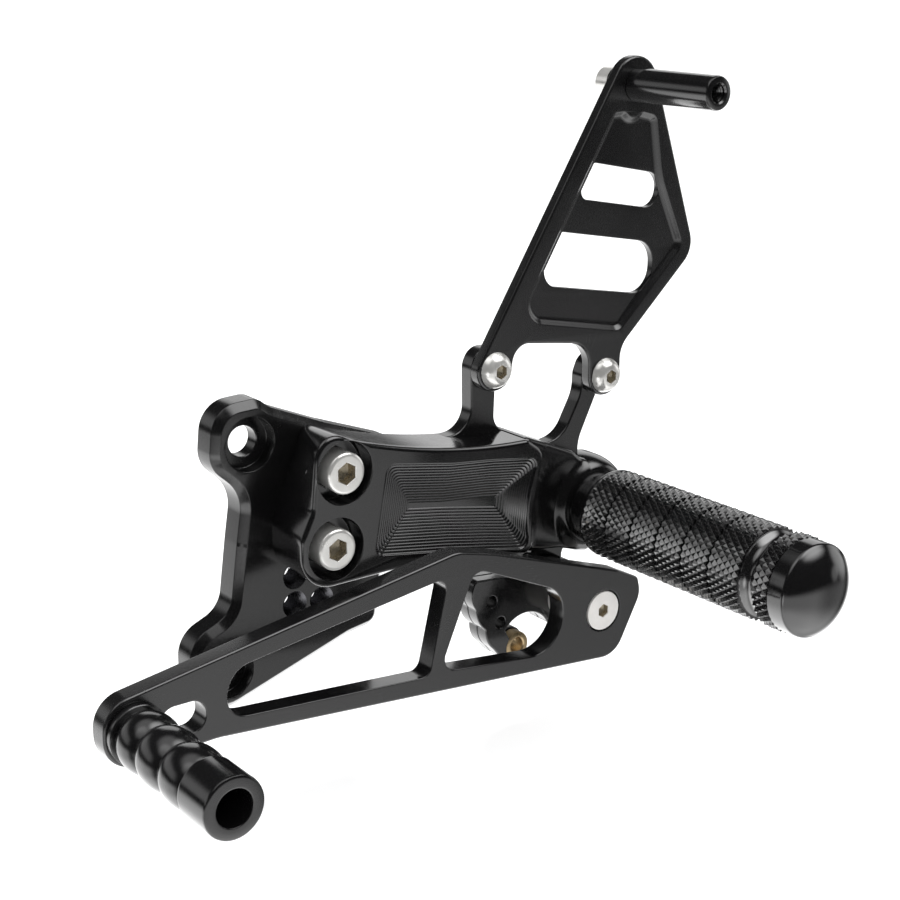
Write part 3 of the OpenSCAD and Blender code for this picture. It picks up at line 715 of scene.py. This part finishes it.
def screws():
    crown = [(5.3, 0), (5.75, 0.05), (6.2, 0.3), (6.45, 0.7), (6.5, 1.1)]
    pair = [socket_screw(f"bracket_screw_{k}", c, BRACKET_FRONT - 1.0, 1, (6.5, 8), (4, -1.5), (6, 4),
                         crown, ROOT) for k, c in (("upper", UPPER_SCREW), ("lower", LOWER_SCREW))]
    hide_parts("bracket_screws")
    high = 3.35
    dome = [(3.1, 0.02), (3.9, 0.35), (4.7, 0.95), (5.3, 1.7), (5.7, 2.5), (5.88, 3.0)]
    pair = [socket_screw(f"guard_screw_{k}", c, GUARD_FRONT - high, 1, (5.9, high), (3, -10.6), (4, 2.2),
                         dome, ROOT) for k, c in (("left", GUARD_LEFT), ("right", GUARD_RIGHT))]
    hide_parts("guard_screws")
    small = [(4.3, 0), (4.7, 0.1), (4.95, 0.4), (5, 0.8)]
    socket_screw("standoff_screw_shown", GUARD_TOP, -4.2, -1, (5, 6), (3, -31.4), (5, 3.5), small, ROOT,
                 ["standoff_screw"])
    crown = [(5.6, 0), (6.1, 0.1), (6.4, 0.4), (6.5, 0.9)]
    socket_screw("peg_bolt_shown", PEG, -2.4, -1, (6.5, 7.6), (4, -57.0), (6, 4), crown, ROOT,
                 ["peg_bolt"])
    crown = [(6.35, 0), (6.6, 0.08), (6.7, 0.3)]
    socket_screw("pivot_bolt_shown", PIVOT, PEDAL_FRONT - 0.1, 1, (6.7, 3), (4, -2.5), (4, 2.2), crown,
                 ROOT, ["pivot_bolt"], SILVER)
    socket_screw("toe_peg_screw_shown", TOE, PEDAL_FRONT - 18, 1, (5, 6), (3, -33.0), (5, 3), small,
                 LEVER, ["toe_peg_screw"])


# Guard standoff and its spacer
def standoff():
    r, front, back = 5.4, GUARD_FRONT - 36.6, GUARD_FRONT
    core, crest, pitch = 2.6, 3.0, 1.0
    profile = [(0, front + 12), (core, front + 12)]
    for k in range(10):
        profile += [(core, front + 11 - pitch * k), (crest, front + 10.5 - pitch * k)]
    profile += [(2.8, front + 0.6), (3.3, front), (r - 0.9, front), (r - 0.3, front + 0.25),
                (r, front + 0.9), (r, back - 0.3), (r - 0.3, back), (3.02, back), (3.02, back - 15),
                (0, back - 15)]
    turned("guard_standoff_shown", GUARD_TOP, profile, ROOT, [TURNED], ["guard_standoff"],
           n=96)
    turned("standoff_spacer_shown", GUARD_TOP,
           [(3.3, -15.5), (5.2, -15.5), (5.6, -15.1), (5.6, -10.6), (5.2, -10.2), (3.3, -10.2)],
           ROOT, [TURNED], ["standoff_spacer"], closed=True)


# Foot peg, its collar and its cap
def knurl_band(s, y0, y1):
    """Pyramids of a diamond knurl, cut off square at y0 and y1; gives its end rings."""
    rows = max(1, round(abs(y1 - y0) / (KNURL_PITCH / 2)))
    wrap = 2 * KNURL_AROUND
    grid = []
    for row in range(rows + 1):
        loop = []
        for k in range(wrap):
            a = 2 * math.pi * k / wrap
            radius = GRIP_R - KNURL_DEPTH if (k + row) % 2 == 0 else GRIP_R
            loop.append((PEG[0] + radius * math.cos(a), PEG[1] + radius * math.sin(a)))
        grid.append(s.ring(loop, y0 + (y1 - y0) * row / rows))
    for row in range(rows + 1):
        for k in range(wrap):
            if (k + row) % 2 == 0:
                continue
            tip, left, right = grid[row][k], grid[row][k - 1], grid[row][(k + 1) % wrap]
            if row > 0:
                s.face((tip, left, grid[row - 1][k]))
                s.face((tip, grid[row - 1][k], right))
            if row < rows:
                s.face((tip, right, grid[row + 1][k]))
                s.face((tip, grid[row + 1][k], left))
    return grid[0], grid[-1]


def foot_peg():
    s = Solid()
    sides = 2 * KNURL_AROUND
    pitch = GRIP_LENGTH / (GROOVES + 1)
    ends = [GRIP_START - pitch * (k + 1) + 1.2 for k in range(GROOVES)] + [GRIP_END]
    starts = [GRIP_START] + [y - GROOVE_GAP for y in ends[:-1]]
    bands = [knurl_band(s, y0, y1) for y0, y1 in zip(starts, ends)]
    for before, after, y in zip(bands, bands[1:], ends):
        groove = [s.ring(circle(PEG, GROOVE_R, sides), y - d) for d in (0.03, GROOVE_GAP - 0.03)]
        s.chain([before[1], *groove, after[0]])
    waist = [(13.9, 0), (13.8, -0.5)]
    for k in range(13):
        t = k / 12
        waist.append((13.7 - 1.6 * math.sin(math.pi * t) ** 0.8, -0.6 - 5.3 * t))
    waist.append((14.0, -6.2))
    rings = [s.ring(circle(PEG, r, 2 * sides), GRIP_END + d) for r, d in waist]
    s.fan(bands[-1][1], rings[0])
    s.chain(rings)
    first, last = knurl_band(s, GRIP_END - WAIST_LENGTH, PEG_END)
    s.fan(first, rings[-1])
    face = s.ring(circle(PEG, 13.6, sides), PEG_END)
    s.bridge(last, face)
    s.cap([face])
    s.cap([bands[0][0]])
    s.make("foot_peg_shown", ROOT, [KNURL], ["foot_peg"], angle=24, weighted=False)


def peg_collar():
    bolt_r = 4.3
    profile = [(bolt_r, -23.0), (11.7, -23.0), (12.0, -23.3), (12.0, -26.0), (12.1, -27.4), (12.4, -28.8),
               (12.8, -30.2), (13.3, -31.4), (14.4, -31.5), (14.8, -31.7), (14.9, -32.1), (14.9, -32.7),
               (14.6, GRIP_START), (bolt_r, GRIP_START)]
    turned("peg_collar_shown", PEG, profile, ROOT, [TURNED], ["peg_collar"], closed=True)


def peg_cap():
    """Cap with a straight side, a rounded shoulder and a dome, on a spigot in the peg."""
    r, side, length = 14.7, 5.4, 11.5
    spigot_r, spigot = 6, 9
    shoulder = 1.6
    profile = [(0, PEG_END + spigot), (spigot_r, PEG_END + spigot), (spigot_r, PEG_END),
               (r - 0.4, PEG_END), (r, PEG_END - 0.4), (r, PEG_END - side)]
    for k in range(1, 6):
        a = math.radians(60 * k / 5)
        profile.append((r - shoulder * (1 - math.cos(a)), PEG_END - side - shoulder * math.sin(a)))
    rim_r, rim_y = profile[-1]
    rise = length - (PEG_END - rim_y)
    low = math.radians(28)
    for k in range(1, 18):
        a = math.radians(28 + 62 * k / 18)
        profile.append((rim_r * math.cos(a) / math.cos(low),
                        rim_y - rise * (math.sin(a) - math.sin(low)) / (1 - math.sin(low))))
    profile.append((0, PEG_END - length))
    turned("peg_cap_shown", PEG, profile, ROOT, [CAP], ["peg_end_cap"])


# Shift pedal and its toe peg
def shift_pedal():
    tr = 9.0
    tx, tz = TOE
    px, pz = PIVOT
    outline = rounded([
        (tx - tr - 0.6, tz - tr - 1.6, 9.4), (tx + 25.8, tz - 9.4, 30), (px + 6, pz - 17.6, 9),
        (px + 16.9, pz + 2.4, 8), (px + 15.4, pz + 8.4, 2.4), (px + 6.6, pz + 12.8, 12),
        (px - 46.5, pz + 30.4, 30), (px - 60.5, pz + 33.9, 12), (tx - tr - 0.6, tz + tr + 0.4, 9.4)], 12)
    long_window = rounded([(tx + 26.6, tz - 4.2, 7), (px - 71.4, pz - 4.6, 3.6),
                           (px - 64, pz + 26.6, 3.4), (tx + 31.4, tz + 10.4, 8.4)], 10)
    short_window = rounded([(px - 67.4, pz - 4.2, 4.4), (px - 19.6, pz - 10, 12),
                            (px - 16.2, pz + 10.4, 11), (px - 53.8, pz + 26.8, 4.6)], 12)
    slot = rounded([(tx + 7.6, tz - 5.3, 4.7), (tx + 22.2, tz - 5.3, 4.7), (tx + 22.2, tz + 4.3, 4.7),
                    (tx + 7.6, tz + 4.3, 4.7)], 12)
    front, back = PEDAL_FRONT, PEDAL_BACK
    recess = front + 3.2
    holes = [edge_wall(w, front, back, 0.35, 0.35, -1) for w in (long_window, short_window, slot)]
    holes.append(bore(PIVOT, [(7.5, front), (7.35, front + 0.05), (7.3, front + 0.25), (7.3, recess),
                              (6.02, recess), (6.02, back)]))
    holes.append(hole_wall(TOE, 3.02, front, back, 0.1, 0.1, 48))
    plate("shift_pedal_shown", edge_wall(outline, front, back, 0.75, 0.6), holes, LEVER, [PEDAL],
          ["shift_pedal"])


def toe_peg():
    """Peg with three beads and a deep bore; its profile is (radius, way out from the pedal)."""
    r, length = 9.0, 54.0
    screw_r, bore_r, seat = 3.3, 5.3, 12.0
    profile = [(screw_r, 0), (r - 0.6, 0), (r - 0.1, 0.25), (r, 0.6), (r, 2.3), (r - 0.25, 2.6)]
    for a, b in ((2.8, 13.7), (13.7, 26.4), (26.4, 39.3)):
        for k in range(21):
            t = k / 20
            profile.append((r - 1.7 * abs(2 * t - 1) ** 2.4, a + (b - a) * t))
    profile += [(r - 0.5, 39.7), (r - 0.12, 40.2), (r, 40.8), (r, length - 0.9), (r - 0.2, length - 0.35),
                (r - 0.8, length), (bore_r + 0.5, length), (bore_r + 0.15, length - 0.15),
                (bore_r, length - 0.5), (bore_r, seat + 0.4), (bore_r - 0.4, seat), (screw_r, seat)]
    turned("toe_peg_shown", TOE, [(radius, PEDAL_FRONT - t) for radius, t in profile], LEVER, [TURNED],
           ["toe_peg"], closed=True)


# Linkage arm and its bush
def scallop(a, b, h, steps=12):
    """Shallow arc from a to b that bulges outward by h."""
    dx, dz = b[0] - a[0], b[1] - a[1]
    n = math.hypot(dx, dz)
    out = []
    for k in range(steps):
        t = k / steps
        rise = h * (1 - (2 * t - 1) ** 2)
        out.append((a[0] + dx * t + dz / n * rise, a[1] + dz * t - dx / n * rise))
    return out


def link_outline(inner):
    """Outline of a linkage plate; the inner one goes round the eye, the outer one stops before it."""
    loop = []

    def arc(c, r, a0, a1, n):
        for k in range(n + 1):
            a = math.radians(a0 + (a1 - a0) * k / n)
            loop.append((c[0] + r * math.cos(a), c[1] + r * math.sin(a)))

    cusps = [(75, -61), (76.6, -67.9), (80.6, -76), (84, -83.6)]
    arc(PIVOT, 11.0, -166, 92, 44)
    loop += rounded([(PIVOT[0], PIVOT[1] + 10.8, 0), (88, -58.8, 30), (76, -57.6, 2.2), (75, -61, 0)],
                    10)[1:-1]
    for a, b, h in zip(cusps, cusps[1:], (0.8, 1.0, 1.0)):
        loop += scallop(a, b, h)
    loop += [cusps[3], (86.4, -86.6)]
    if inner:
        arc(LINK_EYE, 5.2, 205, 486, 48)
    else:
        arc(LINK_EYE, 5.0, 203, 138, 10)
    arc((97.5, -84.8), 11, 142, 28, 24)
    return loop


def linkage():
    rod_hole = (83, -66.4)
    rod_holes = [rod_hole, (rod_hole[0] + 0.41 * 9, rod_hole[1] - 0.912 * 9)]
    for name, inner, front, back in (("outer", False, -20.6, -15.85), ("inner", True, -15.75, -11.0)):
        holes = [hole_wall(PIVOT, 6.02, front, back, 0.05, 0.05)]
        holes += [hole_wall(c, 2.1, front, back, 0.35, 0.3, 48) for c in rod_holes]
        if inner:
            holes.append(hole_wall(LINK_EYE, 3.62, front, back, 0.05, 0.3))
        plate(f"link_plate_{name}_shown", edge_wall(link_outline(inner), front, back, 0.5, 0.5), holes,
              LEVER, [LINK], [f"link_plate_{name}"])
    turned("link_bush_shown", LINK_EYE,
           [(3.0, -19.8), (4.2, -19.8), (4.55, -19.6), (4.7, -19.2), (4.7, -16.1), (4.4, -15.8),
            (3.6, -15.8), (3.6, -11.3), (3.3, -11), (2.9, -11), (2.6, -11.3), (2.6, -19.4)],
           LEVER, [BRASS], ["link_bush"], closed=True)


def dress_cad():
    """The parts that stay as drawn get their finish."""
    finish = {"pivot_sleeve": SILVER, "pivot_washer": SILVER, "pivot_bushes": BRONZE}
    for name, material in finish.items():
        mesh = frame["nodes"][name].data
        mesh.materials.clear()
        mesh.materials.append(material)


# Soft boxes that show in reflections: direction, full within degrees, gone beyond degrees, strength
SOFT_BOXES = (
    ((0.38, -0.36, 0.85), 12, 34, 3.2),
    ((-0.15, 0.15, 0.97), 10, 36, 0.8),
    ((-0.5, -0.1, 0.86), 10, 26, 0.8),
    ((-0.78, -0.5, -0.3), 4, 15, 1.4),
    ((0.95, -0.2, 0.1), 8, 22, 1.2),
    ((0.84, -0.54, -0.05), 3, 9, 0.6),
)

# Walls and floor: each is a product of ramps over a direction's x, y or z, from low to high, start to end
RIGHT_WALL = (("Z", -0.02, 0.1, 0, 1), ("Z", 0.46, 0.54, 1, 0), ("Y", 0.1, 0.5, 0, 1.1),
              ("X", 0.2, 0.34, 0, 1))
LEFT_WALL = (("Z", 0.0, 0.15, 0, 1), ("Z", 0.3, 0.5, 1, 0), ("Y", 0.1, 0.5, 0, 0.6),
             ("X", 0.1, -0.3, 0, 1))
FRONT_FLOOR = (("Z", -0.12, -0.3, 0, 0.85), ("Y", -0.3, 0.1, 1, 0), ("X", 0.35, 0.75, 1, 0.4))
BACK_FLOOR = (("Z", -0.05, -0.3, 0, 1.6), ("Y", 0.0, 0.4, 0, 1))
FLOOR_BELOW = (("Z", -0.45, -0.75, 0, 0.8),)
ROOM_LIGHT = 0.02


def studio_light():
    """Node group: brightness in a direction, from soft boxes, walls and a floor in a dark room."""
    g = bpy.data.node_groups.new("studio_light", "ShaderNodeTree")
    g.interface.new_socket("Direction", in_out="INPUT", socket_type="NodeSocketVector")
    g.interface.new_socket("Light", in_out="OUTPUT", socket_type="NodeSocketFloat")
    start = g.nodes.new("NodeGroupInput")
    end = g.nodes.new("NodeGroupOutput")
    total = ROOM_LIGHT
    for direction, inner, outer, strength in SOFT_BOXES:
        dot = node(g, "ShaderNodeVectorMath", operation="DOT_PRODUCT")
        dot.inputs[1].default_value = Vector(direction).normalized()
        g.links.new(start.outputs[0], dot.inputs[0])
        box = ramp(g, dot.outputs["Value"], math.cos(math.radians(outer)), math.cos(math.radians(inner)),
                   0, strength)
        total = calc(g, "ADD", box, total)
    split = node(g, "ShaderNodeSeparateXYZ")
    g.links.new(start.outputs[0], split.inputs[0])
    for ramps in (RIGHT_WALL, LEFT_WALL, FRONT_FLOOR, BACK_FLOOR, FLOOR_BELOW):
        parts = [ramp(g, split.outputs[axis], *values) for axis, *values in ramps]
        light = parts[0]
        for part in parts[1:]:
            light = calc(g, "MULTIPLY", light, part)
        total = calc(g, "ADD", total, light)
    g.links.new(total, end.inputs[0])
    return g


def background(tree, strength):
    n = node(tree, "ShaderNodeBackground")
    put(n, {"Color": (1, 1, 1, 1), "Strength": strength})
    return n


def world(lights):
    """White to the camera, the studio in reflections, and even light on everything."""
    w = bpy.data.worlds.new("studio")
    bpy.context.scene.world = w
    w.use_nodes = True
    tree = w.node_tree
    tree.nodes.clear()
    link = tree.links.new
    coords = node(tree, "ShaderNodeTexCoord")
    boxes = node(tree, "ShaderNodeGroup", node_tree=lights)
    link(coords.outputs["Generated"], boxes.inputs[0])
    shine = background(tree, 1.0)
    link(boxes.outputs[0], shine.inputs["Strength"])
    even = background(tree, 0.95)
    white = background(tree, 1.0)
    path = node(tree, "ShaderNodeLightPath")
    first = node(tree, "ShaderNodeMixShader")
    link(path.outputs["Is Glossy Ray"], first.inputs[0])
    link(even.outputs[0], first.inputs[1])
    link(shine.outputs[0], first.inputs[2])
    last = node(tree, "ShaderNodeMixShader")
    link(path.outputs["Is Camera Ray"], last.inputs[0])
    link(first.outputs[0], last.inputs[1])
    link(white.outputs[0], last.inputs[2])
    out = node(tree, "ShaderNodeOutputWorld")
    link(last.outputs[0], out.inputs["Surface"])


def lamp(name, place, target, size, power):
    """Square lamp that lights the part but doesn't show in its reflections."""
    data = bpy.data.lights.new(name, "AREA")
    data.size = size
    data.energy = power
    obj = bpy.data.objects.new(name, data)
    obj.location = place
    obj.rotation_mode = "QUATERNION"
    obj.rotation_quaternion = (Vector(target) - Vector(place)).to_track_quat("-Z", "Y")
    obj.visible_glossy = False
    bpy.context.scene.collection.objects.link(obj)


def white_floor():
    """White floor that catches the shadow; the camera sees it a little lighter than it is lit."""
    m, tree, bsdf = shader("floor_white")
    grain = noise(tree, stretched(tree, (1, 1, 1)), 3, 2)
    tint(tree, bsdf, grain, (0.93, 0.93, 0.935), (0.96, 0.96, 0.962))
    put(bsdf, {"Roughness": 0.7, "Specular IOR Level": 0.1, "Emission Color": (1, 1, 1, 1)})
    path = node(tree, "ShaderNodeLightPath")
    lift = calc(tree, "MULTIPLY", path.outputs["Is Camera Ray"], 0.36)
    tree.links.new(lift, bsdf.inputs["Emission Strength"])
    size, z = FLOOR_REACH, FLOOR * MM
    mesh = bpy.data.meshes.new("floor")
    mesh.from_pydata([(-size, -size, z), (size, -size, z), (size, size, z), (-size, size, z)], [],
                     [(0, 1, 2, 3)])
    mesh.materials.append(m)
    floor = bpy.data.objects.new("floor", mesh)
    floor.visible_glossy = False
    bpy.context.scene.collection.objects.link(floor)


def camera():
    data = bpy.data.cameras.new("camera")
    data.lens = CAMERA_LENS
    data.sensor_width = CAMERA_SENSOR
    data.clip_start = 0.02
    data.clip_end = 60
    cam = bpy.data.objects.new("camera", data)
    cam.location = CAMERA_PLACE
    cam.rotation_euler = (math.radians(90 - CAMERA_DOWN), 0, math.radians(CAMERA_TURN))
    bpy.context.scene.collection.objects.link(cam)
    bpy.context.scene.camera = cam


for build in (frame_plate, bracket_block, bracket_neck, bracket_arms, bracket_boss, heel_guard, screws,
              standoff, foot_peg, peg_collar, peg_cap, shift_pedal, toe_peg, linkage, dress_cad):
    build()

world(studio_light())
lamp("key", (0.3, 0.35, 1.2), (0.05, -0.03, -0.02), 0.35, 8)
lamp("fill", (-0.3, -0.9, 0.8), (0.05, 0, 0), 0.9, 1.6)
white_floor()
camera()
bpy.context.scene.view_settings.view_transform = "Standard"
